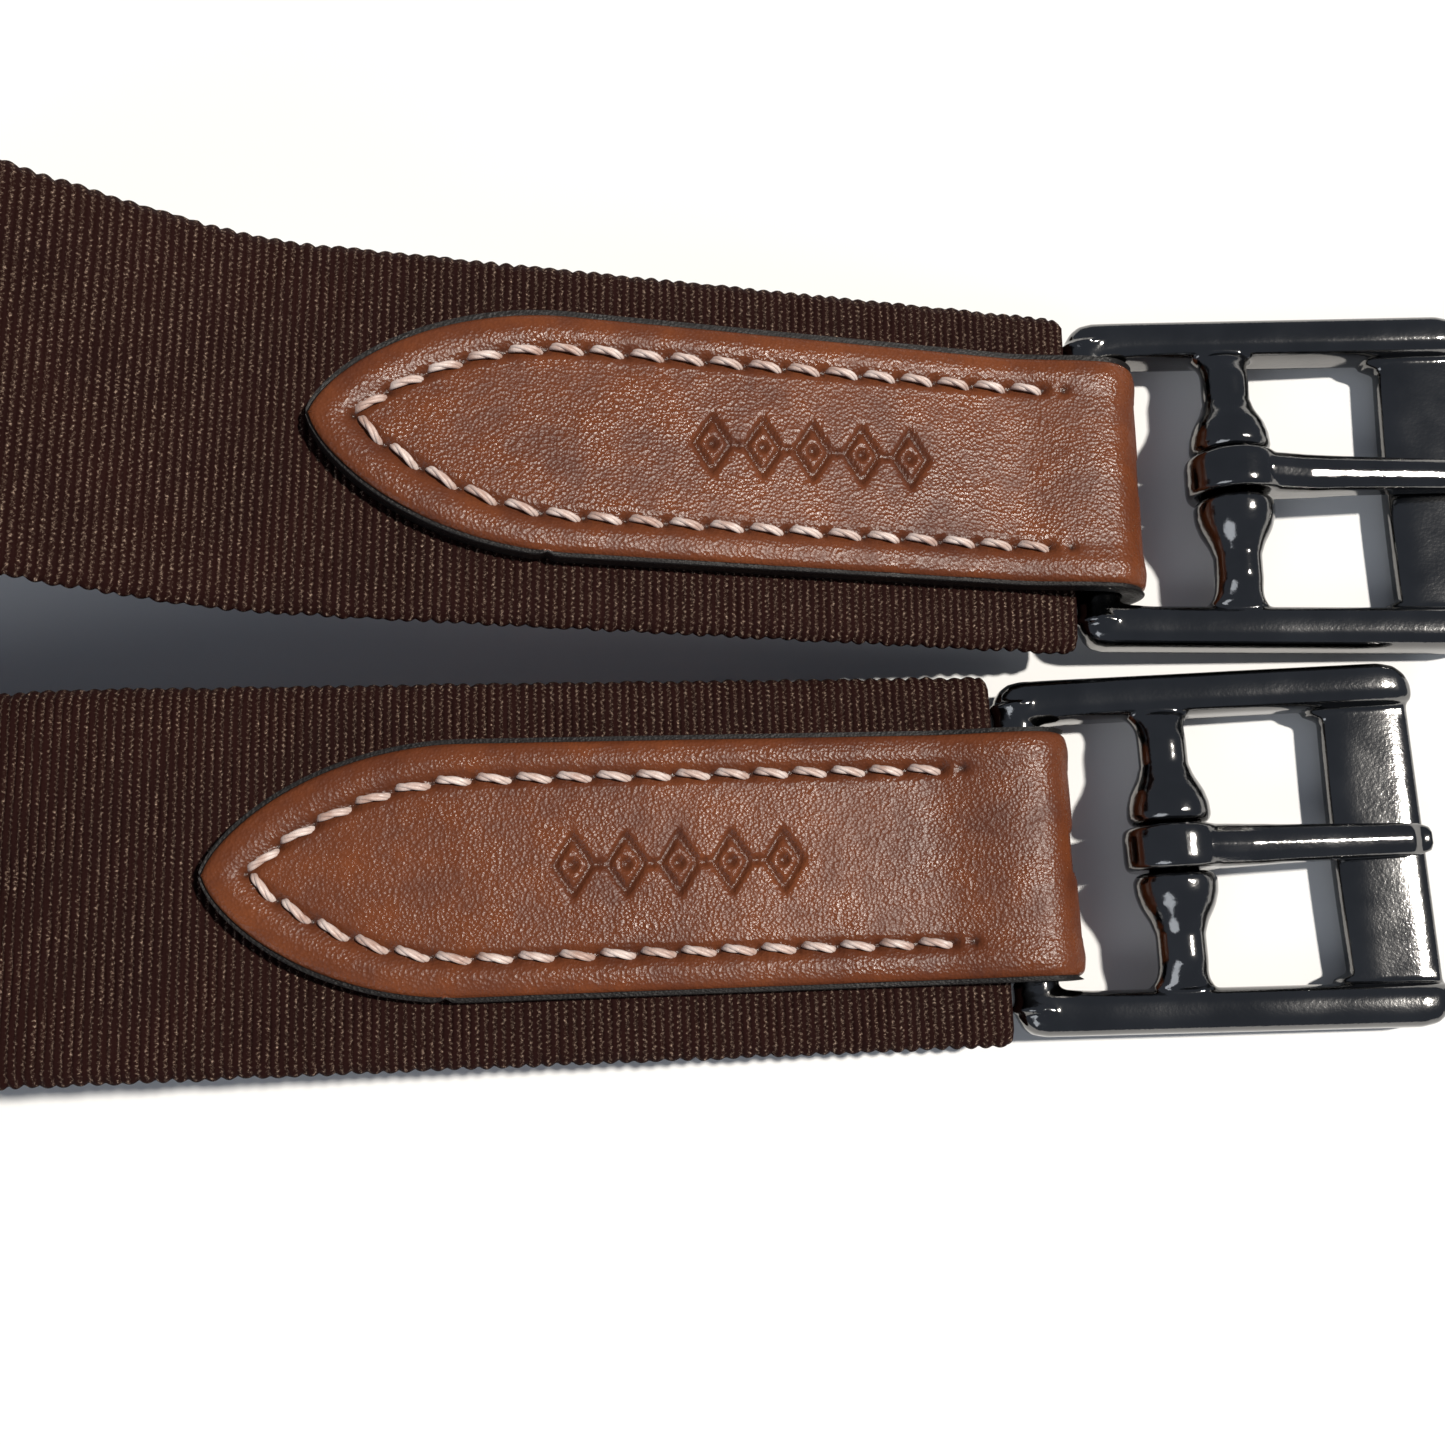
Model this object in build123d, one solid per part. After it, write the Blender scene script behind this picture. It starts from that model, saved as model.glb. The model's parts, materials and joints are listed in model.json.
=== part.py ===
from build123d import *

import math
import os

# Long saddle girth: a padded leather body with two elastic straps and two girth buckles at each end.
# The girth lies flat, outer side up. X runs along it, Y across it (-Y is its front edge) and Z is up.
# The origin is under its middle, on the surface that it lies on. All sizes are in millimetres.

# ---- driving dimensions -------------------------------------------------------------------------

OVERALL_LENGTH = 1350.0  # buckle end to buckle end, the girth's nominal size

WEB_WIDTH = 38.0  # elastic webbing, 1 1/2 in
WEB_THICK = 2.2
WEB_CLEAR = 0.05  # between the webbing and each layer of leather over it
WEB_IN_BODY = 30.0  # webbing sewn in between the body's layers
WEB_SHORT_OF_BAR = 3.0  # the webbing's end stops this far from the end bar's axis
STRAP_FREE = 205.0  # from the body's end to the axis of the buckle's end bar
STRAP_GAP = 40.0  # between the two buckles' centre lines, at their end bars
TOE_IN = 1.0  # degrees that each strap leans towards the other

CHAPE_WIDTH = 25.4  # leather tab that holds the buckle, 1 in
CHAPE_TAB = 82.0  # from the end bar's axis to the tab's point
CHAPE_LEATHER = 2.4
CHAPE_POINT = 25.0  # length of the pointed part
LOOP_CLEAR = 0.3  # between the leather loop and the end bar
CREW_HOLE = (9.0, 3.6)  # oblong hole in the fold, across and along the strap

BAR_RADIUS = 2.2  # end bar
RAIL_WIDTH = 4.5
RAIL_HEIGHT = 5.0
WINDOW_WIDTH = 27.6  # between the rails at the end bar
FLARE = 0.5  # that each rail moves out by the far end
CENTRE_BAR_AT = 14.6  # from the end bar's axis
CENTRE_BAR_UP = 1.5
CENTRE_BAR_RADIUS = 2.5
NECK_RADIUS = 2.3  # where the tongue turns
SWELL_RADIUS = 4.0
SWELL_END = 8.6  # distance from the middle where a swell has run out
FAR_BAR_IN = 32.2  # inner edge of the far bar
FAR_BAR_WIDTH = 9.0
FAR_BAR_THICK = 3.0
FRAME_TILT = 3.2  # degrees that a frame leans down to lie on the surface

TONGUE_WIDTH = 4.4
EYE_RADIUS = 4.9
EYE_CLEAR = 0.1
TONGUE_TIP_WIDTH = 3.2

STITCH_PITCH = 4.0
STITCH_LENGTH = 3.1
STITCH_RADIUS = 0.5
STITCH_INSET = 4.0

MEAN_HALF_WIDTH = 50.5  # of the body
WAVE_HALF_WIDTH = 7.0  # the body is this much wider at its middle and narrower behind the elbows
ELBOW_AT = 240.0
LINING_THICK = 1.6
PAD_THICK = 6.0
OUTER_THICK = 2.4
MARGIN = 4.0  # flat stitched edge outside the padding
PATCH_THICK = 2.0
PATCH_LENGTH = 30.0
PATCH_POINT = 3.0
STAY_WIDTH = 44.0
STAY_POINT = 26.0
THREAD = 0.8  # width of a seam's thread on the body
THREAD_HEIGHT = 0.4

DEE_WIRE = 2.0  # radius of the dee's wire
DEE_INSIDE = 30.0
KEEPER_WIDTH = 24.0
KEEPER_HALF = 15.0
KEEPER_LEATHER = 2.2

# Each strap: its end along X and side along Y, the slope of its chape in degrees, the height of the crest
# that the relaxed webbing makes and its distance from the end bar, and how much deeper it is sewn in.
STRAPS = {
    "right_rear": {"end": 1, "side": 1, "slope": 16.0, "crest": (55.0, 122.0), "drawn_in": 0.0},
    "right_front": {"end": 1, "side": -1, "slope": 10.0, "crest": (21.5, 97.0), "drawn_in": 9.5},
    "left_rear": {"end": -1, "side": 1, "slope": 4.0, "crest": (15.0, 125.0), "drawn_in": 0.0},
    "left_front": {"end": -1, "side": -1, "slope": 0.0, "crest": None, "drawn_in": 0.0},
}

# ---- worked out ---------------------------------------------------------------------------------

LOOP_INSIDE = BAR_RADIUS + LOOP_CLEAR
LOOP_OUTSIDE = LOOP_INSIDE + CHAPE_LEATHER
BAR_HEIGHT = LOOP_OUTSIDE  # the leather loop rests on the surface
FRAME_HALF = WINDOW_WIDTH / 2 + RAIL_WIDTH
FAR_END = FAR_BAR_IN + FAR_BAR_WIDTH
FAR_REACH = FAR_END * math.cos(math.radians(FRAME_TILT)) + FRAME_HALF * math.sin(math.radians(TOE_IN))
BAR_X = OVERALL_LENGTH / 2 - FAR_REACH
BODY_HALF = BAR_X - STRAP_FREE * math.cos(math.radians(TOE_IN))
WEB_ROOT_Z = LINING_THICK + WEB_CLEAR + WEB_THICK / 2
WEB_ROOT_TOP = LINING_THICK + WEB_THICK + 2 * WEB_CLEAR
END_TOP = WEB_ROOT_TOP + OUTER_THICK
PAD_TOP = LINING_THICK + PAD_THICK
OUTER_TOP = PAD_TOP + OUTER_THICK
PAD_HALF = BODY_HALF - WEB_IN_BODY - 8
STAY_HALF = PAD_HALF - 8
STAY_TOP = OUTER_TOP + OUTER_THICK


ON_TOP = (Align.CENTER, Align.CENTER, Align.MIN)  # a box that stands on its place


def half_width(x, inset=0.0):
    """The body's half width at x: a wave that is wide at the middle and narrow behind the elbows."""
    return MEAN_HALF_WIDTH + WAVE_HALF_WIDTH * math.cos(math.pi * x / ELBOW_AT) - inset


def body_outline(x_end, inset, z):
    """A flat face with the body's outline, from -x_end to x_end, moved in by inset along its long edges."""
    steps = 16
    xs = [x_end * (2 * i / steps - 1) for i in range(steps + 1)]
    front = Spline([Vector(x, -half_width(x, inset), z) for x in xs])
    rear = Spline([Vector(x, half_width(x, inset), z) for x in reversed(xs)])
    right = Line(front @ 1, rear @ 0)
    left = Line(rear @ 1, front @ 0)
    return make_face([front, right, rear, left])


def slab(x_end, inset, z_low, z_high):
    """A flat layer of the body."""
    return extrude(body_outline(x_end, inset, z_low), z_high - z_low, dir=(0, 0, 1))


def mound(inset, z_low, z_high, step, foot):
    """A layer whose long edges slope in by as much as it rises, and that steps down to step beyond foot."""
    rise = z_high - z_low
    base, crown = body_outline(BODY_HALF, inset, z_low), body_outline(BODY_HALF, inset + rise, z_high)
    layer = loft([base, crown], ruled=True)
    over = z_high + 1 - step
    beyond = BODY_HALF + 5
    side_view = [(foot, step), (foot - over, step + over), (beyond, step + over), (beyond, step)]
    for sign in (1, -1):
        outline = make_face(Polyline([(sign * x, 0, z) for x, z in side_view], close=True))
        layer -= extrude(outline, 100, dir=(0, 1, 0), both=True)
    return layer


def strap_place(strap):
    """The strap's own frame: x runs out along it and z = 0 is the surface; the end bar is over its origin."""
    end, side = strap["end"], strap["side"]
    yaw = -side * TOE_IN if end > 0 else 180 + side * TOE_IN
    return Location((end * (BAR_X - strap["drawn_in"]), side * STRAP_GAP / 2, 0), (0, 0, yaw))


# ---- body ---------------------------------------------------------------------------------------


def web_root_slots():
    """The spaces that the four webbing ends take from the padding."""
    length, height = WEB_IN_BODY + 4, WEB_THICK + 2
    slots = []
    for strap in STRAPS.values():
        middle = -STRAP_FREE + strap["drawn_in"] - WEB_IN_BODY / 2
        slot = Pos(middle, 0, WEB_ROOT_Z) * Box(length, WEB_WIDTH + 0.6, height)
        slots.append(strap_place(strap) * slot)
    return slots


def lining_leather():
    return slab(BODY_HALF, 0, 0, LINING_THICK)


def core_envelope():
    """What the lining and the outer leather hold between them: thick in the middle, thin at the webbing."""
    return mound(MARGIN + 1.0, LINING_THICK, PAD_TOP, WEB_ROOT_TOP, PAD_HALF)


def padding_core():
    return core_envelope() - web_root_slots()


def outer_leather():
    rim_top = LINING_THICK + OUTER_THICK
    rim = slab(BODY_HALF, 0, LINING_THICK, rim_top)
    return rim + mound(MARGIN, rim_top, OUTER_TOP, END_TOP, PAD_HALF + 1.0) - core_envelope()


def centre_stay():
    """Leather strap laid along the outer side, pointed at both ends."""
    half = STAY_WIDTH / 2
    shoulder = STAY_HALF - STAY_POINT
    front = Line((-shoulder, -half), (shoulder, -half))
    rear = Line((shoulder, half), (-shoulder, half))
    right = ThreePointArc(front @ 1, (STAY_HALF, 0), rear @ 0)
    left = ThreePointArc(rear @ 1, (-STAY_HALF, 0), front @ 0)
    return Pos(0, 0, OUTER_TOP) * extrude(make_face([front, right, rear, left]), OUTER_THICK, dir=(0, 0, 1))


def end_patch(end):
    """Leather patch over the webbing's seam, with a shallow point towards the middle."""
    inset = MARGIN + WEB_THICK + 1.0
    outside = BODY_HALF - 2.5
    inside = outside - PATCH_LENGTH
    corner = half_width(outside, inset)
    inner = half_width(inside, inset)
    corners = [(outside, -corner), (outside, corner), (inside, inner), (inside - PATCH_POINT, 0), (inside, -inner)]
    outline = make_face(Polyline(corners, close=True))
    patch = Pos(0, 0, END_TOP) * extrude(outline, PATCH_THICK, dir=(0, 0, 1))
    patch = fillet(patch.edges().filter_by(Axis.Z), 4.0)
    return patch if end > 0 else Rot(0, 0, 180) * patch


def edge_thread():
    """The thread that shows along both long edges of the body's outer side."""
    inset, z = MARGIN - 2.0, LINING_THICK + OUTER_THICK
    ring = body_outline(BODY_HALF - 4, inset, z) - body_outline(BODY_HALF - 3, inset + THREAD, z)
    return extrude(ring, THREAD_HEIGHT, dir=(0, 0, 1))


def stay_thread():
    row = Box(2 * (STAY_HALF - STAY_POINT), THREAD, THREAD_HEIGHT, align=ON_TOP)
    return Compound(children=[Pos(0, y, STAY_TOP) * row for y in (-STAY_WIDTH / 2 + 4, STAY_WIDTH / 2 - 4)])


def patch_thread(end):
    """Two rows of thread across the patch, one near each of its edges."""
    rows = []
    for inward in (6.0, PATCH_LENGTH - 6.0):
        x = BODY_HALF - 2.5 - inward
        row = Box(THREAD, 2 * half_width(x, 14.0), THREAD_HEIGHT, align=ON_TOP)
        rows.append(Pos(end * x, 0, END_TOP + PATCH_THICK) * row)
    return Compound(children=rows)


# ---- centre dee ---------------------------------------------------------------------------------

DEE_AXIS_Z = STAY_TOP + DEE_WIRE + 0.8
DEE_HALF = DEE_INSIDE / 2 + DEE_WIRE


def dee_ring():
    """A welded D of round wire, lying towards the front edge."""
    corner, side = 4.0, 4.0
    cut = corner * (1 - math.sqrt(0.5))
    bar = Line((-DEE_HALF + corner, 0), (DEE_HALF - corner, 0))
    right = ThreePointArc(bar @ 1, (DEE_HALF - cut, -cut), (DEE_HALF, -corner))
    right_side = Line(right @ 1, (DEE_HALF, -corner - side))
    bow = ThreePointArc(right_side @ 1, (0, -corner - side - DEE_HALF), (-DEE_HALF, -corner - side))
    left_side = Line(bow @ 1, (-DEE_HALF, -corner))
    left = ThreePointArc(left_side @ 1, (-DEE_HALF + cut, -cut), bar @ 0)
    path = Wire([bar, right, right_side, bow, left_side, left])
    section = Plane(origin=path @ 0, z_dir=path % 0) * Circle(DEE_WIRE)
    return Pos(0, 0, DEE_AXIS_Z) * sweep(section, path=path)


def dee_keeper():
    """Leather strip sewn down on both sides of the dee's straight bar, humped over it."""
    strip = Pos(0, 0, STAY_TOP + KEEPER_LEATHER / 2) * Box(KEEPER_WIDTH, 2 * KEEPER_HALF, KEEPER_LEATHER)
    inside = DEE_WIRE + 0.3
    hump = Pos(0, 0, DEE_AXIS_Z) * Rot(0, 90, 0) * Cylinder(inside + KEEPER_LEATHER, KEEPER_WIDTH)
    foot = Pos(0, 0, STAY_TOP + 1.6) * Box(KEEPER_WIDTH, 2 * (inside + KEEPER_LEATHER), 3.2)
    bore = Pos(0, 0, DEE_AXIS_Z) * Rot(0, 90, 0) * Cylinder(inside, KEEPER_WIDTH + 2)
    throat = Pos(0, 0, STAY_TOP + DEE_WIRE / 2) * Box(KEEPER_WIDTH + 2, 2 * inside, DEE_WIRE + 0.4)
    above = Pos(0, 0, STAY_TOP + 10) * Box(60, 60, 20)
    return ((strip + hump + foot) & above) - bore - throat


def keeper_thread():
    rows = []
    for y in (-KEEPER_HALF + 2.5, -7.5, 7.5, KEEPER_HALF - 2.5):
        row = Box(KEEPER_WIDTH - 6, THREAD, THREAD_HEIGHT, align=ON_TOP)
        rows.append(Pos(0, y, STAY_TOP + KEEPER_LEATHER) * row)
    return Compound(children=rows)


# ---- elastic straps -----------------------------------------------------------------------------


def web_knots(strap):
    """Knots of the free webbing's middle line: distance in from the end bar, height, and slope."""
    slope = math.tan(math.radians(strap["slope"]))
    tip = (CHAPE_TAB + 1.0) * math.cos(math.radians(strap["slope"]))
    crest = [(strap["crest"][1], strap["crest"][0], 0.0)] if strap["crest"] else []
    root = (STRAP_FREE - strap["drawn_in"] - 1.5, WEB_ROOT_Z, 0.0)
    return [(tip, BAR_HEIGHT + tip * slope, slope)] + crest + [root]


def hermite(a, b, t):
    """Distance, height and slope between two knots, where t runs from 0 to 1."""
    span, rise = b[0] - a[0], b[1] - a[1]
    bend, twist = 3 * rise - span * (2 * a[2] + b[2]), span * (a[2] + b[2]) - 2 * rise
    height = a[1] + t * span * a[2] + t * t * bend + t ** 3 * twist
    return a[0] + span * t, height, a[2] + (2 * t * bend + 3 * t * t * twist) / span


def web_face_point(knot, out):
    """A point of the webbing's upper (out > 0) or lower face, square to the middle line at a knot."""
    distance, height, slope = knot
    across = out / math.hypot(1, slope)
    return Vector(across * slope - distance, 0, height + across)


def web_side(strap, out):
    """One face of the webbing in side view: straight in the chape, curved where free, straight again."""
    knots, steps = web_knots(strap), 5
    first, last = knots[0], knots[-1]
    curve = [hermite(a, b, i / steps) for a, b in zip(knots, knots[1:]) for i in range(steps)] + [last]
    start = (WEB_SHORT_OF_BAR, BAR_HEIGHT + WEB_SHORT_OF_BAR * first[2], first[2])
    stop = (last[0] + 1.5 + WEB_IN_BODY, WEB_ROOT_Z, 0.0)
    points = [web_face_point(knot, out) for knot in curve]
    free = Spline(points, tangents=[(-1, 0, first[2]), (-1, 0, 0)])
    return [Line(web_face_point(start, out), points[0]), free, Line(points[-1], web_face_point(stop, out))]


def elastic_web(strap):
    top, bottom = web_side(strap, WEB_THICK / 2), web_side(strap, -WEB_THICK / 2)
    ends = [Line(top[0] @ 0, bottom[0] @ 0), Line(top[-1] @ 1, bottom[-1] @ 1)]
    return extrude(make_face(top + bottom + ends), WEB_WIDTH / 2, dir=(0, 1, 0), both=True)


# ---- chape: leather tab folded round the end bar ------------------------------------------------


def chape_outline(half):
    """Plan of the tab: straight sides that curve in to a point, with the fold at +x."""
    shoulder = -CHAPE_TAB + CHAPE_POINT
    bulge = (shoulder - 0.56 * CHAPE_POINT, 0.66 * half)
    point = Vector(-CHAPE_TAB, 0)
    rear = Line((20, half), (shoulder, half))
    rear_curve = Spline([rear @ 1, Vector(*bulge), point + Vector(0.3, 0.8)], tangents=[(-1, 0), (-0.5, -1)])
    nose = ThreePointArc(rear_curve @ 1, point, point + Vector(0.3, -0.8))
    front_curve = Spline(
        [nose @ 1, Vector(bulge[0], -bulge[1]), Vector(shoulder, -half)], tangents=[(0.5, -1), (1, 0)]
    )
    front = Line(front_curve @ 1, (20, -half))
    return make_face([rear, rear_curve, nose, front_curve, front, Line(front @ 1, rear @ 0)])


def fold_section():
    """Side view of the folded leather: two layers either side of the webbing, opening out round the bar."""
    flat, knee_x = WEB_THICK / 2 + WEB_CLEAR, -11.0
    layers = []
    for inside in (0, 1):
        gap = flat + (0 if inside else CHAPE_LEATHER)
        loop = LOOP_INSIDE + (0 if inside else CHAPE_LEATHER)
        top = Line((-CHAPE_TAB - 2, 0, gap), (knee_x, 0, gap))
        swell = Spline([(knee_x, 0, gap), (0, 0, loop)], tangents=[(1, 0, 0), (1, 0, 0)])
        fold = ThreePointArc((0, 0, loop), (loop, 0, 0), (0, 0, -loop))
        back = Spline([(0, 0, -loop), (knee_x, 0, -gap)], tangents=[(-1, 0, 0), (-1, 0, 0)])
        bottom = Line((knee_x, 0, -gap), (-CHAPE_TAB - 2, 0, -gap))
        layers.append([top, swell, fold, back, bottom])
    outer, inner = layers
    ends = [Line(outer[-1] @ 1, inner[-1] @ 1), Line(inner[0] @ 0, outer[0] @ 0)]
    return make_face(outer + inner + ends)


def chape():
    strip = extrude(fold_section(), CHAPE_WIDTH, dir=(0, 1, 0), both=True)
    plan = extrude(Pos(0, 0, -20) * chape_outline(CHAPE_WIDTH / 2), 40, dir=(0, 0, 1))
    across, along = CREW_HOLE
    hole = Rot(0, 90, 0) * extrude(SlotOverall(across, along, rotation=90), 20)
    return (strip & plan) - hole


def stitch_places():
    """Where each stitch of the chape's V-shaped seam lies: (x, y, angle) in the tab's plane."""
    half = CHAPE_WIDTH / 2 - STITCH_INSET
    nose = -CHAPE_TAB + 4.5
    shoulder = -CHAPE_TAB + CHAPE_POINT + 1.0
    seam = [Vector(nose + (shoulder - nose) * t, half * math.sin(math.pi / 2 * t ** 0.82)) for t in
            (i / 40 for i in range(41))]
    seam.append(Vector(-10.3, half))
    lengths = [0.0]
    for a, b in zip(seam, seam[1:]):
        lengths.append(lengths[-1] + (b - a).length)
    count = round(lengths[-1] / STITCH_PITCH)
    places = []
    for n in range(count):
        at = (n + 0.5) * lengths[-1] / count
        i = max(k for k in range(len(seam) - 1) if lengths[k] <= at)
        share = (at - lengths[i]) / (lengths[i + 1] - lengths[i])
        spot = seam[i] + (seam[i + 1] - seam[i]) * share
        step = seam[i + 1] - seam[i]
        angle = math.degrees(math.atan2(step.Y, step.X))
        places += [(spot.X, spot.Y, angle), (spot.X, -spot.Y, -angle)]
    return places


def chape_stitching():
    """One short thread bar for each stitch, on the tab's upper and lower faces."""
    face = WEB_THICK / 2 + WEB_CLEAR + CHAPE_LEATHER
    stitch = Rot(0, 90, 0) * Cylinder(STITCH_RADIUS, STITCH_LENGTH)
    upper = stitch & Pos(0, 0, 1) * Box(STITCH_LENGTH + 1, 2, 2)
    lower = Rot(180, 0, 0) * upper
    bars = []
    for x, y, angle in stitch_places():
        bars.append(Pos(x, y, face) * Rot(0, 0, angle) * upper)
        bars.append(Pos(x, y, -face) * Rot(0, 0, angle) * lower)
    return Compound(children=bars)


# ---- buckle -------------------------------------------------------------------------------------


def frame_plan(inset, start, stop, corner, z):
    """Plan of the frame between two stations: a flared rectangle with rounded corners."""
    half = FRAME_HALF - inset
    near, far = half + FLARE * start / FAR_END, half + FLARE * stop / FAR_END
    face = make_face(Polyline((start, -near), (stop, -far), (stop, far), (start, near), close=True))
    return Pos(0, 0, z) * fillet(face.vertices(), corner)


def buckle_rails():
    """Rails and far bar in one casting, round in side view where they meet the end bar."""
    half, nose = RAIL_HEIGHT / 2, 3.0
    plan = extrude(frame_plan(0, -half, FAR_END, 3.0, -half), RAIL_HEIGHT, dir=(0, 0, 1))
    side = make_face([
        Line((0, 0, half), (FAR_END - nose, 0, half)),
        ThreePointArc((FAR_END - nose, 0, half), (FAR_END, 0, -half + 2.0), (FAR_END - nose / 2, 0, -half)),
        Line((FAR_END - nose / 2, 0, -half), (0, 0, -half)),
        ThreePointArc((0, 0, -half), (-half, 0, 0), (0, 0, half)),
    ])
    blank = plan & extrude(side, 60, dir=(0, 1, 0), both=True)
    window = frame_plan(RAIL_WIDTH, -half - 1, FAR_BAR_IN, 1.0, -half - 1)
    recess = frame_plan(RAIL_WIDTH, FAR_BAR_IN - 3, FAR_END + 6, 1.0, -half + FAR_BAR_THICK)
    blank -= extrude(window, RAIL_HEIGHT + 2, dir=(0, 0, 1))
    return blank - extrude(recess, RAIL_HEIGHT, dir=(0, 0, 1))


def centre_bar():
    """Turned bar with a bell-shaped swell on each side of the neck that the tongue turns on."""
    reach = WINDOW_WIDTH / 2 + 2.6
    neck, lip = TONGUE_WIDTH / 2 + 0.25, 0.7
    half = make_face([
        Line((0, 0), (0, NECK_RADIUS)),
        Line((0, NECK_RADIUS), (neck, NECK_RADIUS)),
        Line((neck, NECK_RADIUS), (neck, SWELL_RADIUS - lip)),
        RadiusArc((neck, SWELL_RADIUS - lip), (neck + lip, SWELL_RADIUS), lip),
        Spline([(neck + lip, SWELL_RADIUS), (SWELL_END, CENTRE_BAR_RADIUS)], tangents=[(1, 0), (1, 0)]),
        Line((SWELL_END, CENTRE_BAR_RADIUS), (reach, CENTRE_BAR_RADIUS)),
        Line((reach, CENTRE_BAR_RADIUS), (reach, 0)),
        Line((reach, 0), (0, 0)),
    ])
    turned = revolve(half, Axis.X)
    turned = turned + mirror(turned, Plane.YZ)
    return Pos(CENTRE_BAR_AT, 0, CENTRE_BAR_UP) * Rot(0, 0, 90) * turned


def buckle_frame():
    end_bar = Rot(90, 0, 0) * Cylinder(BAR_RADIUS, WINDOW_WIDTH + RAIL_WIDTH)
    return buckle_rails() + end_bar + centre_bar()


def buckle_tongue():
    """Eye round the centre bar's neck and a tapering blade that rests in the far bar's recess."""
    x0, z0 = CENTRE_BAR_AT, CENTRE_BAR_UP
    rest = -RAIL_HEIGHT / 2 + FAR_BAR_THICK + 0.3
    tip, tip_height = FAR_END - 0.4, 2.4
    shoulder = (x0 + 3.5, 0, z0 + EYE_RADIUS - 0.7)
    nose = [(tip - 1.4, 0, rest + tip_height), (tip, 0, rest + tip_height / 2), (tip - 1.2, 0, rest)]
    outline = [
        Line((x0, 0, z0 + EYE_RADIUS), shoulder),
        Line(shoulder, nose[0]),
        ThreePointArc(*nose),
        Line(nose[2], (FAR_BAR_IN - 4, 0, rest)),
        Line((FAR_BAR_IN - 4, 0, rest), (x0, 0, z0 - 1.0)),
        Line((x0, 0, z0 - 1.0), (x0, 0, z0 + EYE_RADIUS)),
    ]
    body = extrude(make_face(outline), TONGUE_WIDTH / 2, dir=(0, 1, 0), both=True)
    body += Pos(x0, 0, z0) * Rot(90, 0, 0) * Cylinder(EYE_RADIUS, TONGUE_WIDTH)
    near, far = TONGUE_WIDTH / 2, TONGUE_TIP_WIDTH / 2
    side = [(x0 - 9, near), (x0 + 6, near), (tip + 1, far)]
    taper = side + [(x, -y) for x, y in reversed(side)]
    body &= extrude(Pos(0, 0, -12) * make_face(Polyline(taper, close=True)), 30, dir=(0, 0, 1))
    return body - Pos(x0, 0, z0) * Rot(90, 0, 0) * Cylinder(NECK_RADIUS + EYE_CLEAR, TONGUE_WIDTH + 2)


# ---- build --------------------------------------------------------------------------------------


def girth_nodes():
    nodes = {
        "lining_leather": lining_leather(),
        "padding_core": padding_core(),
        "outer_leather": outer_leather(),
        "centre_stay": centre_stay(),
        "end_patch_right": end_patch(1),
        "end_patch_left": end_patch(-1),
        "edge_thread": edge_thread(),
        "stay_thread": stay_thread(),
        "patch_thread_right": patch_thread(1),
        "patch_thread_left": patch_thread(-1),
        "dee_keeper": dee_keeper(),
        "keeper_thread": keeper_thread(),
        "dee_ring": dee_ring(),
    }
    tab, stitching, frame, tongue = chape(), chape_stitching(), buckle_frame(), buckle_tongue()
    for name, strap in STRAPS.items():
        at_bar = strap_place(strap) * Pos(0, 0, BAR_HEIGHT)
        along_chape = at_bar * Rot(0, strap["slope"], 0)
        on_surface = at_bar * Rot(0, FRAME_TILT, 0)
        nodes[f"elastic_web_{name}"] = strap_place(strap) * elastic_web(strap)
        nodes[f"chape_{name}"] = along_chape * tab
        nodes[f"chape_stitching_{name}"] = along_chape * stitching
        nodes[f"buckle_frame_{name}"] = on_surface * frame
        nodes[f"buckle_tongue_{name}"] = on_surface * tongue
    return nodes


os.makedirs("parts", exist_ok=True)
for node, shape in girth_nodes().items():
    export_step(shape, f"parts/{node}.step")
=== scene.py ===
import json
import math

import bpy
import numpy as np
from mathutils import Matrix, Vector


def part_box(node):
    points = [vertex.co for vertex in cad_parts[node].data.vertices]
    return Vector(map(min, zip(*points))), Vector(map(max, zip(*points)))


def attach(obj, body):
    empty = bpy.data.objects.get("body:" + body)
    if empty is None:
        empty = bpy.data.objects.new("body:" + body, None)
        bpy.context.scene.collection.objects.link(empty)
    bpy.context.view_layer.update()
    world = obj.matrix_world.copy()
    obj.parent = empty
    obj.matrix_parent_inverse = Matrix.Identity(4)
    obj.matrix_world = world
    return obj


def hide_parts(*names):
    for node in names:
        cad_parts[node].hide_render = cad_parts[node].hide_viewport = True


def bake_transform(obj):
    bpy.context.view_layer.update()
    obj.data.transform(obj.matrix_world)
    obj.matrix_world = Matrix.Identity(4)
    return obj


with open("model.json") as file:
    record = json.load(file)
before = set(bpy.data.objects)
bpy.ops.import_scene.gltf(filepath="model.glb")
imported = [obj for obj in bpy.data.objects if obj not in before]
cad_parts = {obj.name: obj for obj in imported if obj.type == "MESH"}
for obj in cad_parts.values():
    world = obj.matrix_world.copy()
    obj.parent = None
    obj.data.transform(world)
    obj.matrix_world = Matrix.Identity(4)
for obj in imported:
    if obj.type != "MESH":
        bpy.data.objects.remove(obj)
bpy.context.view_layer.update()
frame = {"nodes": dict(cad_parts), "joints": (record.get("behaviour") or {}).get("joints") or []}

# ---- elastic straps ----
# Each strap is one length of 38 mm ribbed elastic: rubber cores held between woven cords, dark brown with
# fine gold-grey flecks whose brightest specks are painted glints. One end is sewn in between the body's layers,
# the other runs into the leather tab.
MM = 0.001
WEB_HALF, WEB_HALF_THICK = 19.0, 1.1
WEB_START, WEB_IN_BODY = 3.0, 24.0
TAB_LENGTH, BAR_HEIGHT, WEB_ROOT_Z = 82.0, 4.9, 2.75
RIB_PITCH, RIB_STEPS, RIB_HEIGHT = 0.85, 5, 0.34
WEB_POINTS, SMOOTH_OVER = 43, 15
SELVEDGE_PITCH, SELVEDGE_BUMP = 1.5, 0.35
ROOT_PIECE = 50.0
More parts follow.
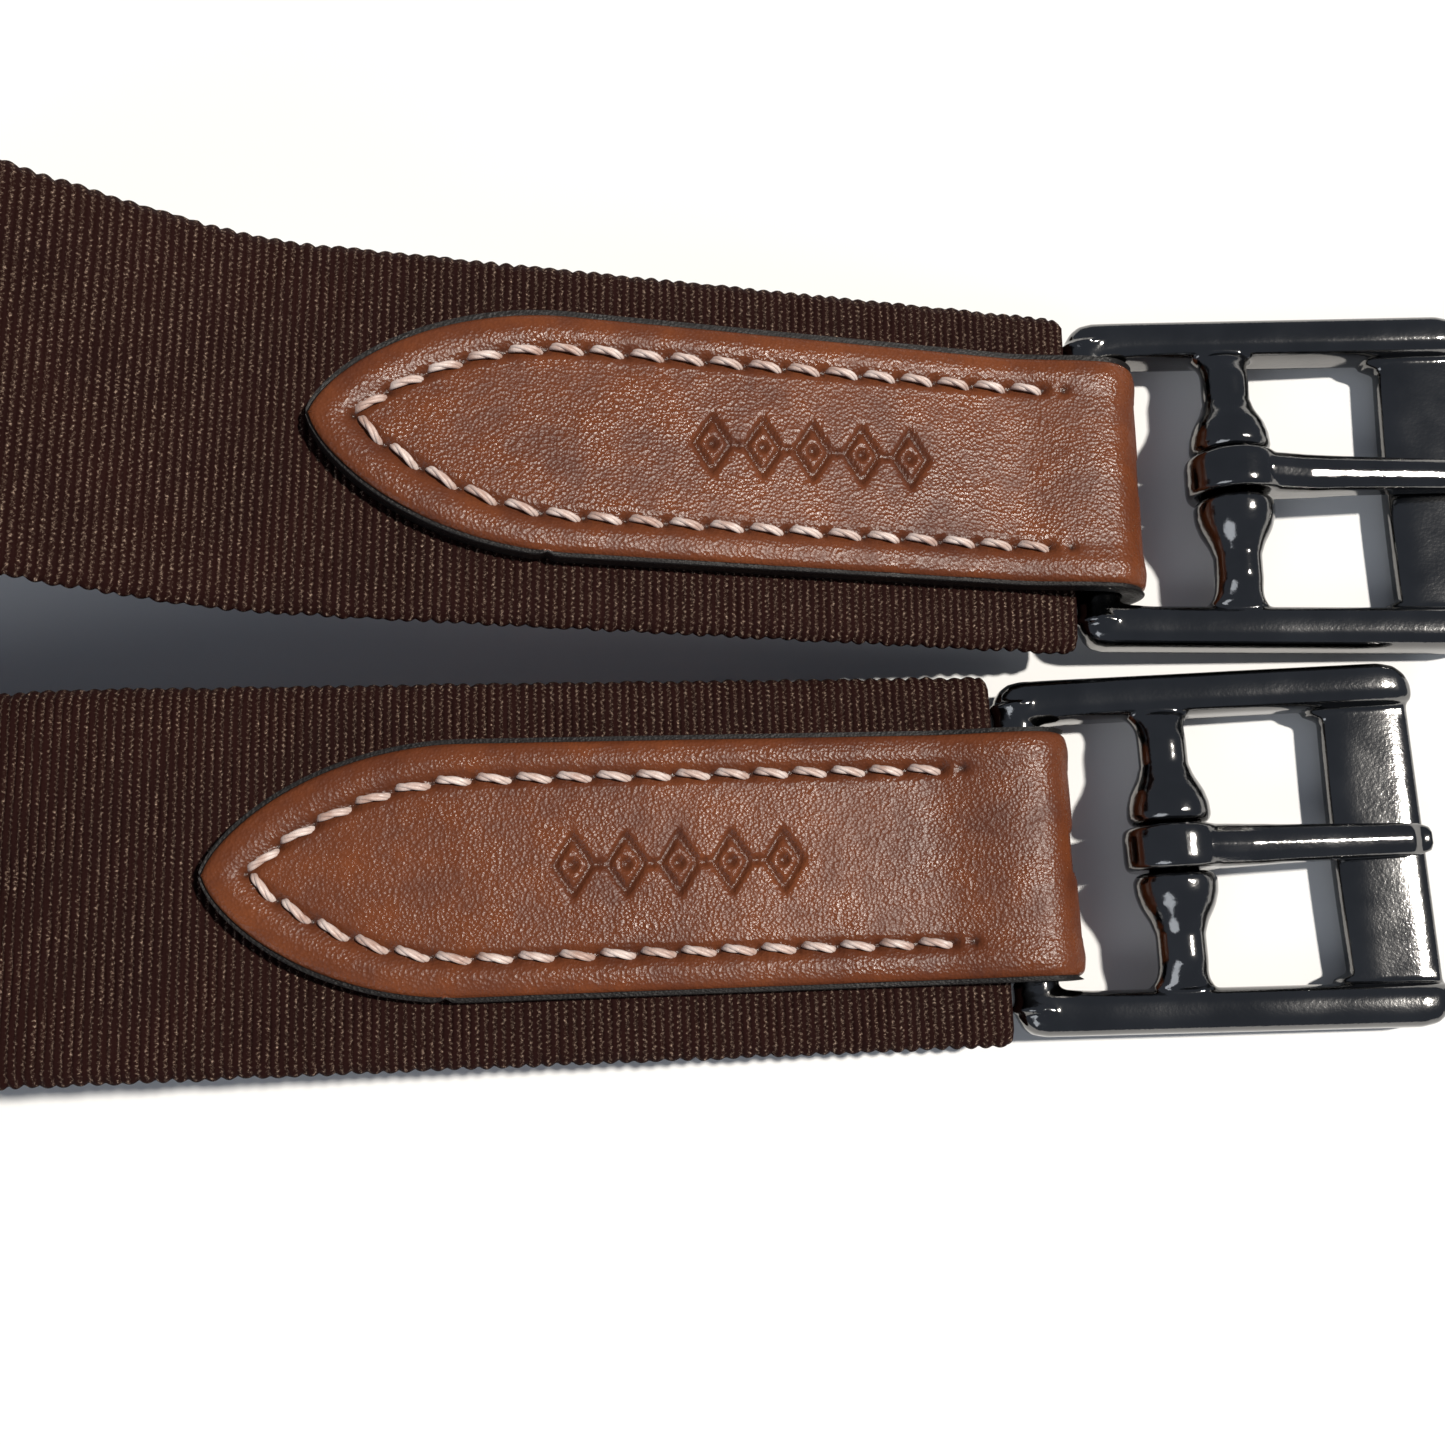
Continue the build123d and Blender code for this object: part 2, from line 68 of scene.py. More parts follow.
STRAPS = {
    "right_rear": {"slope": 16.0, "crest": (55.0, 122.0), "free": 205.0},
    "right_front": {"slope": 10.0, "crest": (21.5, 97.0), "free": 195.5},
    "left_rear": {"slope": 4.0, "crest": (15.0, 125.0), "free": 205.0},
    "left_front": {"slope": 0.0, "crest": None, "free": 205.0},
}
joints = {joint["name"]: joint for joint in frame["joints"]}


def on_strap(points, name):
    """Points in a strap's own frame, in mm, x out along the strap, moved to their place on the girth."""
    pivot = joints["buckle_pivot_" + name]
    across = np.array(pivot["axis"])
    out = np.cross(across, (0, 0, 1))
    origin = np.array([pivot["pos_m"][0], pivot["pos_m"][1], 0]) / MM
    return origin + points[..., :1] * out + points[..., 1:2] * across + points[..., 2:] * (0, 0, 1)


def leaning(points, degrees):
    """Points about the end bar, leaned down towards the strap's outer end and lifted to the bar's height."""
    c, s = math.cos(math.radians(degrees)), math.sin(math.radians(degrees))
    x, y, z = points[..., 0], points[..., 1], points[..., 2]
    return np.stack([x * c + z * s, y, z * c - x * s + BAR_HEIGHT], -1)


def mesh_object(name, points, faces, material, **values):
    """A smooth mesh from points in mm, with any values that its material reads, one for each point."""
    mesh = bpy.data.meshes.new(name)
    mesh.from_pydata((np.asarray(points).reshape(-1, 3) * MM).tolist(), [], faces)
    mesh.update()
    mesh.polygons.foreach_set("use_smooth", [True] * len(mesh.polygons))
    for key, value in values.items():
        data = np.asarray(value, np.float32)
        kind, field = ("FLOAT", "value") if data.ndim == 1 else ("FLOAT_VECTOR", "vector")
        mesh.attributes.new(key, kind, "POINT").data.foreach_set(field, data.ravel())
    mesh.materials.append(material)
    thing = bpy.data.objects.new(name, mesh)
    bpy.context.scene.collection.objects.link(thing)
    return thing


def tube_faces(rows, around, start=0, caps=True):
    """Faces of a skin whose rings of points close on themselves."""
    ring = np.arange(around)
    first = start + np.arange(rows - 1)[:, None] * around
    here, beside = first + ring, first + (ring + 1) % around
    quads = np.stack([here, beside, beside + around, here + around], -1).reshape(-1, 4).tolist()
    if caps:
        quads.append((start + ring[::-1]).tolist())
        quads.append((start + (rows - 1) * around + ring).tolist())
    return quads


def noise(points, scale, seed):
    """Smooth unevenness from a few crossed waves, the same at each run."""
    random = np.random.default_rng(seed)
    total = np.zeros(points.shape[:-1])
    for octave in (1.0, 1.9, 3.7):
        for _ in range(4):
            direction = random.normal(size=points.shape[-1])
            direction *= octave / scale / np.linalg.norm(direction)
            total += np.sin(points @ direction * 6.28 + random.uniform(0, 6.28)) / octave
    return total / 5.0


def web_middle(strap):
    """The webbing's middle line: distance in from the end bar and height, as it lies when relaxed."""
    slope = math.tan(math.radians(strap["slope"]))
    tip = (TAB_LENGTH + 1.0) * math.cos(math.radians(strap["slope"]))
    knots = [(tip, BAR_HEIGHT + tip * slope, slope)]
    if strap["crest"]:
        knots.append((strap["crest"][1], strap["crest"][0], 0.0))
    knots.append((strap["free"] - 1.5, WEB_ROOT_Z, 0.0))
    line = [np.array([[WEB_START, BAR_HEIGHT + WEB_START * slope]])]
    for a, b in zip(knots, knots[1:]):
        t, span, rise = np.linspace(0, 1, 80)[:, None], b[0] - a[0], b[1] - a[1]
        bend, twist = 3 * rise - span * (2 * a[2] + b[2]), span * (a[2] + b[2]) - 2 * rise
        height = a[1] + t * span * a[2] + t * t * bend + t ** 3 * twist
        line.append(np.hstack([a[0] + span * t, height])[:-1])
    line.append(np.array([[knots[-1][0], WEB_ROOT_Z], [strap["free"] + WEB_IN_BODY, WEB_ROOT_Z]]))
    return np.vstack(line)


def elastic_skin(strap, seed):
    """Rings of points round the webbing, with its ribs and knobbly selvedges, and each point's place on it."""
    line = web_middle(strap)
    length = np.concatenate([[0], np.cumsum(np.linalg.norm(np.diff(line, axis=0), axis=1))])
    along = np.arange(0, length[-1], RIB_PITCH / RIB_STEPS)
    distance, height = np.interp(along, length, line[:, 0]), np.interp(along, length, line[:, 1])
    tangent = np.stack([np.gradient(distance), np.gradient(height)], -1)
    smooth = np.ones(SMOOTH_OVER) / SMOOTH_OVER
    for axis in (0, 1):
        tangent[:, axis] = np.convolve(np.pad(tangent[:, axis], SMOOTH_OVER // 2, "edge"), smooth, "valid")
    tangent /= np.linalg.norm(tangent, axis=1)[:, None]
    side = np.linspace(-1, 1, WEB_POINTS)
    across = np.concatenate([side, [1.012], side[::-1], [-1.012]])
    face = np.concatenate([np.ones(WEB_POINTS), [0], -np.ones(WEB_POINTS), [0]])
    s, v = along[:, None], across[None, :] * WEB_HALF
    place = np.stack([s + 0 * v, v + 0 * s], -1)
    wander = 0.30 * noise(place, 7.0, seed) + 0.05 * np.sin(v * 6.5 + 3 * np.sin(s * 0.7))
    near_edge = np.clip((np.abs(v) - WEB_HALF + 2.6) / 1.6, 0, 1)
    rib = np.abs(np.cos(math.pi * (s / RIB_PITCH + wander))) ** 0.8
    knots = 0.5 + 0.5 * noise(place, 1.6, seed + 1)
    relief = RIB_HEIGHT * ((rib - 1) * (1 - 0.45 * near_edge) - 0.6 * near_edge * knots)
    round_off = np.sqrt(np.clip(1 - np.clip((np.abs(v) - WEB_HALF + 0.9) / 1.0, 0, 1) ** 2, 0.04, 1))
    bump = SELVEDGE_BUMP * (np.abs(np.sin(math.pi * s / SELVEDGE_PITCH + np.sign(v))) - 1)
    bump = bump * (0.8 + 0.5 * noise(place, 7.0, seed + 2)) + 0.12 * noise(place, 5.0, seed + 3)
    out = np.sign(v) * np.clip((np.abs(v) - WEB_HALF + 3) / 3, 0, 1) * bump
    offset = face * ((WEB_HALF_THICK * round_off) + relief + 0.03 * noise(place, 14.0, seed + 4))
    x = -(distance[:, None] - offset * tangent[:, 1:])
    z = height[:, None] + offset * tangent[:, :1]
    rounded_end = 0.5 * np.clip(1 - s / 0.8, 0, 1) ** 2
    return np.stack([x, v * 0.995 + out - np.sign(v) * rounded_end, z], -1), place


def shader(name):
    """A new material, its nodes, and a way to add and wire one."""
    material = bpy.data.materials.new(name)
    material.use_nodes = True
    nodes, links = material.node_tree.nodes, material.node_tree.links

    def add(kind, inputs=None, **settings):
        node = nodes.new("ShaderNode" + kind)
        for key, value in settings.items():
            setattr(node, key, value)
        for key, value in (inputs or {}).items():
            if isinstance(value, bpy.types.NodeSocket):
                links.new(value, node.inputs[key])
            else:
                node.inputs[key].default_value = value
        return node

    return material, add, nodes["Principled BSDF"], links


def webbing_material():
    """Dark ribs; a thin broken zigzag of pale thread along each crown catches the light, its brightest specks
    painted glints.
    """
    material, add, surface, links = shader("ribbed_elastic")
    place = add("Attribute", attribute_name="web_mm").outputs["Vector"]
    split = add("SeparateXYZ", {0: place})
    rib = add("Math", {0: split.outputs[0], 1: RIB_PITCH}, operation="DIVIDE").outputs[0]
    row = add("Math", {0: rib}, operation="FLOOR").outputs[0]
    shift = add("TexWhiteNoise", {"W": row}, noise_dimensions="1D").outputs["Value"]
    run = add("Math", {0: split.outputs[1], 1: 1.7, 2: shift}, operation="MULTIPLY_ADD").outputs[0]
    zigzag = add("Math", {0: run, 1: 0.5}, operation="PINGPONG").outputs[0]
    sway = add("Math", {0: zigzag, 1: 0.42, 2: rib}, operation="MULTIPLY_ADD").outputs[0]
    across = add("Math", {0: sway, 1: 0.5}, operation="PINGPONG").outputs[0]
    line = add("MapRange", {0: across, 1: 0.24, 2: 0.42, 3: 0.0, 4: 1.0}).outputs[0]
    broken = add("TexNoise", {"Vector": place, "Scale": 3.6, "Detail": 5.0, "Roughness": 0.85}).outputs["Fac"]
    gaps = add("MapRange", {0: broken, 1: 0.50, 2: 0.62, 3: 0.10, 4: 1.0}).outputs[0]
    flecks = add("Math", {0: line, 1: gaps}, operation="MULTIPLY").outputs[0]
    patches = add("TexNoise", {"Vector": place, "Scale": 0.11, "Detail": 2.0}).outputs["Fac"]
    dark_brown, brown = (0.0085, 0.0022, 0.0018, 1), (0.0175, 0.0045, 0.0034, 1)
    ground = add("Mix", {0: patches, 6: dark_brown, 7: brown}, data_type="RGBA")
    # Painted glints: the flecks run from a dull gold thread colour up to near white where the noise is high,
    # standing in for sparkle.
    painted_glint_mask = add("MapRange", {0: broken, 1: 0.48, 2: 0.72}).outputs[0]
    dull_gold, painted_glint_gold = (0.06, 0.028, 0.019, 1), (0.62, 0.46, 0.35, 1)
    pale = add("Mix", {0: painted_glint_mask, 6: dull_gold, 7: painted_glint_gold}, data_type="RGBA")
    cloth = add("Mix", {0: flecks, 6: ground.outputs[2], 7: pale.outputs[2]}, data_type="RGBA")
    links.new(cloth.outputs[2], surface.inputs["Base Color"])
    rough = add("MapRange", {0: flecks, 3: 0.72, 4: 0.42}).outputs[0]
    links.new(rough, surface.inputs["Roughness"])
    height = add("Math", {0: flecks, 1: 0.6, 2: broken}, operation="MULTIPLY_ADD").outputs[0]
    bump = add("Bump", {"Height": height, "Strength": 0.55, "Distance": 0.00018})
    links.new(bump.outputs[0], surface.inputs["Normal"])
    surface.inputs["Specular IOR Level"].default_value = 0.06
    return material


webbing = webbing_material()
for number, (name, strap) in enumerate(STRAPS.items()):
    rings, place = elastic_skin(strap, 10 * number)
    seam = int(np.argmax(-rings[:, WEB_POINTS // 2, 0] > strap["free"] - ROOT_PIECE))
    rings = on_strap(rings, name)
    around = rings.shape[1]
    flex = np.array(joints["strap_flex_" + name]["pos_m"])
    end_bar = np.array(joints["buckle_pivot_" + name]["pos_m"])
    inward = (flex - end_bar) * (1, 1, 0)
    inward /= np.linalg.norm(inward)
    for part, rows in (("free", slice(0, seam + 1)), ("root", slice(seam, len(rings)))):
        skin = rings[rows]
        piece = mesh_object(
            f"elastic_{part}_{name}", skin, tube_faces(len(skin), around), webbing,
            web_mm=np.concatenate([place[rows], 0 * place[rows][..., :1]], -1).reshape(-1, 3),
        )
        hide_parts("elastic_web_" + name)
        if part == "free":
            end = end_bar + inward * (TAB_LENGTH + 4) * MM
            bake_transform(piece)
        else:
            end = flex - inward * (ROOT_PIECE - 4) * MM
            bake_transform(piece)


# ---- leather tabs ----
# Each tab is one strip of 2.4 mm bridle leather, pointed at both ends, folded round the buckle's end bar and
# closed over the webbing. Its edges are skived round and painted, and a row of small lozenges is pressed in.
TAB_HALF, TAB_THICK, TAB_POINT, TAB_FLAT, TAB_FOLD = 12.7, 2.4, 25.0, 1.15, 2.5
SEAM_INSET, SEAM_NOSE = 4.0, 4.5
STITCH_PITCH, KNEE = 4.0, -11.0
TOP_POINTS = 85
MARK_AT = {"rear": -32.3, "front": -36.3}
SEAM_STOP = {"rear": -6.6, "front": -9.0}


def tab_half_width(x):
    """The tab's half width at a distance along it: straight, then curving in to a blunt point."""
    t = np.clip((np.asarray(x) + TAB_LENGTH) / TAB_POINT, 0, 1)
    return TAB_HALF * (1 - (1 - t) ** 2) ** 0.68


def fold_line():
    """Side view of the leather's inner face, from the upper point round the bar to the lower point."""
    near_point = -TAB_LENGTH + TAB_POINT * np.linspace(0.0, 1, 70) ** 1.8 + 0.02
    flat = np.arange(near_point[-1] + 0.3, KNEE, 0.3)
    u = np.linspace(0, 1, 26)[1:]
    rise = TAB_FLAT + (TAB_FOLD - TAB_FLAT) * u * u * (3 - 2 * u)
    turn = np.radians(np.linspace(90, -90, 34)[1:])
    upper_x = np.concatenate([near_point, flat, KNEE * (1 - u)])
    upper_z = np.concatenate([np.full(len(near_point) + len(flat), TAB_FLAT), rise])
    x = np.concatenate([upper_x, TAB_FOLD * np.cos(turn), upper_x[::-1][1:]])
    z = np.concatenate([upper_z, TAB_FOLD * np.sin(turn), -upper_z[::-1][1:]])
    return x, z


def seam_line(stop):
    """The stitching's line on one side of the tab, from its point to where it stops before the bar."""
    nose, shoulder = -TAB_LENGTH + SEAM_NOSE, -TAB_LENGTH + TAB_POINT + 1.0
    t = np.linspace(0, 1, 41)
    wide = TAB_HALF - SEAM_INSET
    line = np.stack([nose + (shoulder - nose) * t, wide * np.sin(math.pi / 2 * t ** 0.82)], -1)
    return np.vstack([line, [[stop, wide]]])


def evenly(line, pitch):
    """Points along a line at an even pitch."""
    length = np.concatenate([[0], np.cumsum(np.linalg.norm(np.diff(line, axis=0), axis=1))])
    stops = np.linspace(0, length[-1], round(length[-1] / pitch) + 1)
    return np.stack([np.interp(stops, length, line[:, i]) for i in range(line.shape[1])], -1)


def distance_to(points, line):
    """Distance of each point from a line of many short runs."""
    shortest = np.full(len(points), 1e9)
    for a, b in zip(line, line[1:]):
        run = b - a
        t = np.clip((points - a) @ run / max(run @ run, 1e-9), 0, 1)
        shortest = np.minimum(shortest, np.linalg.norm(points - a - t[:, None] * run, axis=1))
    return shortest


def pressed_lozenges(x, y, middle):
    """Depth of a row of five pressed lozenges, with a dot inside each and one between each two."""
    depth = np.zeros_like(x)
    for i in range(5):
        centre = middle + 5.2 * (i - 2)
        size = np.abs(x - centre) / 2.3 + np.abs(y) / 3.6
        outline = np.clip(1.25 - np.abs(size - 0.78) / 0.2, 0, 1)
        dot = np.clip(1.5 - np.hypot(x - centre, y) / 0.55, 0, 1)
        between = np.clip(1.5 - np.hypot(x - centre - 2.6, y) / 0.4, 0, 1) * (i < 4)
        depth = np.maximum(depth, np.maximum(outline, np.maximum(dot, between)))
    return np.clip(depth, 0, 1)


def tab_skin(mark_at, seam_stop, seed):
    """Rings of points round the folded strip, each with how near it lies to the edge, and painted shade in its
    recesses.
    """
    x, z = fold_line()
    tangent = np.stack([np.gradient(x), np.gradient(z)], -1)
    tangent /= np.linalg.norm(tangent, axis=1)[:, None]
    out = np.stack([-tangent[:, 1], tangent[:, 0]], -1)
    half = np.clip(tab_half_width(x), 0.35, None)
    nick = 0.4 * np.exp(-((x + TAB_LENGTH - TAB_POINT + 2) / 0.45) ** 2)[:, None]
    side = np.linspace(-1, 1, TOP_POINTS)
    rim = np.array([0.94, 0.75, 0.5, 0.25, 0.06])
    across = np.concatenate([side, np.ones(len(rim)), side[::-2], -np.ones(len(rim))])
    level = np.concatenate([np.ones(TOP_POINTS), rim, np.zeros(len(side[::-2])), rim[::-1]])
    y = across[None, :] * half[:, None] + nick * np.clip(-across[None, :] * 8 - 7, 0, 1)
    flat = np.stack([x[:, None] + 0 * y, y], -1)
    outline_x = np.concatenate([-TAB_LENGTH + TAB_POINT * np.linspace(0, 1, 50) ** 1.8, [12.0]])
    outline = np.stack([outline_x, tab_half_width(outline_x)], -1)
    plane = np.stack([flat[..., 0].ravel(), np.abs(flat[..., 1]).ravel()], -1)
    upper = (np.arange(len(x)) < len(x) // 2)[:, None] + 0 * y
    to_edge = distance_to(plane, outline).reshape(y.shape)
    to_seam = distance_to(plane, seam_line(seam_stop)).reshape(y.shape)
    spare_hole = [[seam_stop + 2.2, TAB_HALF - SEAM_INSET]]
    holes = np.vstack([evenly(seam_line(seam_stop), STITCH_PITCH), spare_hole])
    to_hole = np.full(len(plane), 9.0)
    for hole in holes:
        to_hole = np.minimum(to_hole, np.hypot(*(plane - hole).T))
    to_hole = to_hole.reshape(y.shape)
    surface = level[None, :] > 0.98
    loose = noise(np.stack([flat[..., 0], flat[..., 1], 9.0 * upper], -1), 11.0, seed)
    relief = -0.62 * np.exp(-(to_edge / 0.42) ** 1.3)
    relief += -0.30 * np.exp(-(to_seam / 0.75) ** 2) - 0.45 * np.exp(-(to_hole / 0.5) ** 2)
    relief += 0.16 * np.exp(-((to_edge - 2.2) / 1.1) ** 2) + 0.05 * loose
    inside = (to_seam > 1.2) & (to_edge > SEAM_INSET)
    relief += np.where(inside, -0.06, 0.0)
    crew_hole = np.hypot(np.clip(np.abs(flat[..., 1]) - 1.2, 0, None) / 1.5, (z[:, None] - 0.3) / 1.15)
    crew_hole = np.where(x[:, None] > 0, np.clip((1.12 - crew_hole) / 0.24, 0, 1), 0)
    relief = relief * (1 - crew_hole) - 2.2 * crew_hole
    marked = pressed_lozenges(flat[..., 0], flat[..., 1], mark_at) * (upper > 0.5)
    relief -= 0.5 * marked
    thickness = TAB_THICK * level[None, :] + np.where(surface, relief, 0)
    bulge = np.where(np.abs(across) == 1, 0.12 * np.sin(level * math.pi), 0)
    y = y + np.sign(across) * bulge - np.where(surface, np.sign(y) * 0.30 * np.exp(-to_edge / 0.5), 0)
    px = x[:, None] + thickness * out[:, :1]
    pz = z[:, None] + thickness * out[:, 1:]
    dark = np.clip(np.where(surface, np.exp(-(to_edge / 0.27) ** 2), 1.0), 0, 1)
    # Painted shade: the leather is darkened in its stitch holes and along the stitch groove, and below also in
    # the crew hole and the pressed lozenges.
    hole_and_groove_shade = np.maximum(np.exp(-(to_hole / 0.42) ** 2), 0.3 * np.exp(-(to_seam / 0.9) ** 2))
    pits = np.where(surface, hole_and_groove_shade, 0)
    return np.stack([px, y, pz], -1), dark, np.maximum(pits, np.maximum(0.45 * marked, 0.96 * crew_hole))


def leather_material(name, light, deep, grain=1.0, gloss=0.25):
    """Waxed leather: mottled colour, fine pores and pull grain, bright flecks where the wax shines, painted
    shade in its recesses.
    """
    material, add, surface, links = shader(name)
    place = add("TexCoord").outputs["Object"]
    mottle = add("TexNoise", {"Vector": place, "Scale": 55.0, "Detail": 5.0, "Roughness": 0.6}).outputs["Fac"]
    cloud = add("TexNoise", {"Vector": place, "Scale": 210.0, "Detail": 4.0, "Roughness": 0.62}).outputs["Fac"]
    both = add("Math", {0: mottle, 1: cloud}, operation="ADD").outputs[0]
    spread = add("MapRange", {0: both, 1: 0.72, 2: 1.28, 3: 0.0, 4: 1.0}).outputs[0]
    tone = add("Mix", {0: spread, 6: deep, 7: light}, data_type="RGBA").outputs[2]
    pulled = add("Mapping", {"Vector": place, "Scale": (1.0, 0.55, 1.0)}).outputs[0]
    pores = add("TexVoronoi", {"Vector": place, "Scale": 3000.0 * grain, "Randomness": 1.0}).outputs["Distance"]
    fibre = add("TexNoise", {"Vector": pulled, "Scale": 1900.0 * grain, "Detail": 5.0, "Roughness": 0.75})
    worn = add("MapRange", {0: pores, 1: 0.55, 2: 0.95, 3: 0.0, 4: 0.35}).outputs[0]
    grained = add("Mix", {0: worn, 6: tone, 7: deep}, data_type="RGBA").outputs[2]
    edge = add("Attribute", attribute_name="painted_edge").outputs["Fac"]
    ragged = add("Math", {0: cloud, 1: 0.55, 2: edge}, operation="MULTIPLY_ADD").outputs[0]
    painted = add("MapRange", {0: ragged, 1: 0.62, 2: 0.92, 3: 0.0, 4: 1.0}).outputs[0]
    edged = add("Mix", {0: painted, 6: grained, 7: (0.006, 0.005, 0.005, 1)}, data_type="RGBA").outputs[2]
    # Painted shade: near black in the stitch holes, stitch groove, crew hole and pressed lozenges.
    hole = add("Attribute", attribute_name="stitch_hole").outputs["Fac"]
    with_recess_shade = add("Mix", {0: hole, 6: edged, 7: (0.02, 0.008, 0.005, 1)}, data_type="RGBA").outputs[2]
    links.new(with_recess_shade, surface.inputs["Base Color"])
    shine = add("MapRange", {0: cloud, 1: 0.35, 2: 0.65, 3: gloss + 0.12, 4: gloss - 0.06}).outputs[0]
    rough = add("MapRange", {0: painted, 3: 0.0, 4: 0.22}).outputs[0]
    duller = add("Math", {0: shine, 1: rough}, operation="ADD").outputs[0]
    links.new(duller, surface.inputs["Roughness"])
    fine = add("Math", {0: fibre.outputs["Fac"], 1: 0.9, 2: pores}, operation="MULTIPLY_ADD").outputs[0]
    coarse = add("Math", {0: cloud, 1: 1.6, 2: fine}, operation="MULTIPLY_ADD").outputs[0]
    bump = add("Bump", {"Height": coarse, "Strength": 0.8, "Distance": 0.00007})
    links.new(bump.outputs[0], surface.inputs["Normal"])
    surface.inputs["Specular IOR Level"].default_value = 0.26
    return material


bridle = leather_material("bridle_leather", (0.160, 0.046, 0.016, 1), (0.082, 0.022, 0.009, 1))
for number, (name, strap) in enumerate(STRAPS.items()):
    row = name.split("_")[1]
    skin, dark, pits = tab_skin(MARK_AT[row], SEAM_STOP[row], 100 + number)
    place = on_strap(leaning(skin, strap["slope"]), name)
    faces = tube_faces(len(skin), skin.shape[1])
    tab = mesh_object("tab_" + name, place, faces, bridle, painted_edge=dark.ravel(), stitch_hole=pits.ravel())
    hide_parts("chape_" + name)
    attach(tab, "tab_" + name)


# ---- white stitching ----
# A saddler's seam in thick waxed thread, about six to the inch. Each stitch is three plies laid together, and
# slants a little off the seam, with its ends pulled down into the awl holes; it shows on both faces.
PLY_RADIUS, PLY_ORBIT, PLY_PITCH = 0.24, 0.18, 5.2
STITCH_SLANT, STITCH_SPAN, STITCH_LIFT = 0.20, 3.5, 0.40


def stitch_skins(places, up, lift=STITCH_LIFT, size=1.0, steps=13, around=7):
    """Points and faces of one three-ply stitch at each place (middle, direction), standing on a surface."""
    points, faces = [], []
    t = np.linspace(-1, 1, steps)
    ring = np.arange(around) / around * 2 * math.pi
    for middle, direction in places:
        beside = np.cross(up, direction)
        arch = lift * (1 - np.abs(t) ** 3.2 * 2.3)
        core = middle + np.outer(t * STITCH_SPAN * size / 2, direction) + np.outer(arch, up)
        for ply in range(3):
            turn = t * STITCH_SPAN / PLY_PITCH * math.pi + ply * 2 * math.pi / 3
            orbit = PLY_ORBIT * size * np.sqrt(np.clip(1.1 - np.abs(t) ** 4 * 0.7, 0, 1))
            line = core + (orbit * np.cos(turn))[:, None] * beside + (orbit * np.sin(turn) * 0.8)[:, None] * up
            radius = PLY_RADIUS * size * np.sqrt(np.clip(1.05 - np.abs(t) ** 6 * 0.6, 0, 1))[:, None, None]
            around_line = np.cos(ring)[None, :, None] * beside + np.sin(ring)[None, :, None] * np.asarray(up)
            start = sum(len(p) for p in points)
            points.append((line[:, None, :] + radius * around_line).reshape(-1, 3))
            faces += tube_faces(steps, around, start)
    return np.vstack(points), faces


def thread_material(name, pale, shade):
    """Waxed linen thread: faint fibres along the ply and a soft shine."""
    material, add, surface, links = shader(name)
    place = add("TexCoord").outputs["Object"]
    soil = add("TexNoise", {"Vector": place, "Scale": 420.0, "Detail": 4.0}).outputs["Fac"]
    fibre = add("TexNoise", {"Vector": place, "Scale": 4200.0, "Detail": 2.0}).outputs["Fac"]
    amount = add("MapRange", {0: soil, 1: 0.38, 2: 0.66, 3: 0.0, 4: 1.0}).outputs[0]
    colour = add("Mix", {0: amount, 6: pale, 7: shade}, data_type="RGBA").outputs[2]
    links.new(colour, surface.inputs["Base Color"])
    bump = add("Bump", {"Height": fibre, "Strength": 0.5, "Distance": 0.00008})
    links.new(bump.outputs[0], surface.inputs["Normal"])
    surface.inputs["Roughness"].default_value = 0.42
    surface.inputs["Sheen Weight"].default_value = 0.15
    return material


white_thread = thread_material("white_thread", (0.66, 0.55, 0.50, 1), (0.42, 0.28, 0.23, 1))
for name, strap in STRAPS.items():
    upper_x, upper_z = (line[: len(line) // 2] for line in fold_line())
    holes = evenly(seam_line(SEAM_STOP[name.split("_")[1]]), STITCH_PITCH)
    for layer, sign in (("upper", 1), ("lower", -1)):
        places = []
        slant = STITCH_SLANT * sign
        for side in (1, -1):
            for a, b in zip(holes, holes[1:]):
                run = (b - a) / np.linalg.norm(b - a)
                run = np.array([run[0] + slant * run[1] * side, side * run[1] - slant * run[0], 0])
                face = np.interp((a[0] + b[0]) / 2, upper_x, upper_z) + TAB_THICK - 0.18
                middle = np.array([(a[0] + b[0]) / 2, side * (a[1] + b[1]) / 2, sign * face])
                places.append((middle, run / np.linalg.norm(run)))
        points, faces = stitch_skins(places, np.array([0, 0, sign]))
        place = on_strap(leaning(points, strap["slope"]), name)
        seam = mesh_object(f"tab_stitches_{layer}_{name}", place, faces, white_thread)
        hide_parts("chape_stitching_" + name)
        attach(seam, "tab_" + name)


# ---- girth buckles ----
# Each frame is one casting, ground and polished dark: two rails with domed tops, a thin far bar set down for
# the billet, the end bar inside the leather and a turned bar with two bell swells either side of the tongue.
RAIL_WIDTH, RAIL_HALF_HEIGHT, FRAME_TILT = 4.5, 2.5, 3.2
RAIL_MIDDLE, FAR_IN, FAR_OUT = 16.05, 32.2, 41.2
BAR_AT, BAR_UP = 14.6, 1.5
FLARE, PLATE_HALF, PLATE_THICK = 0.5, 15.6, 3.0
FRAME_VOXEL, TONGUE_VOXEL = 0.24, 0.2


def turned(profile, around=40):
    """A turned piece along Y from (distance, radius) pairs."""
    ring = np.arange(around) / around * 2 * math.pi
    points = [(r * math.cos(a), d, r * math.sin(a)) for d, r in profile for a in ring]
    return np.array(points), tube_faces(len(profile), around)


def lofted(stations, section):
    """A bar through stations (x, y, z, width, height), each with the same shape of section across it."""
    rings = [(x, y + u * w / 2, z + v * h / 2) for x, y, z, w, h in stations for u, v in section]
    return np.array(rings), tube_faces(len(stations), len(section))


def superellipse(power_low, power_high, count=36):
    """A section with a flattish foot and a rounder top."""
    shape = []
    for a in np.arange(count) / count * 2 * math.pi:
        power = 2 / (power_high if math.sin(a) > 0 else power_low)
        c, s = math.cos(a), math.sin(a)
        shape.append((math.copysign(abs(c) ** power, c), math.copysign(abs(s) ** power, s)))
    return shape


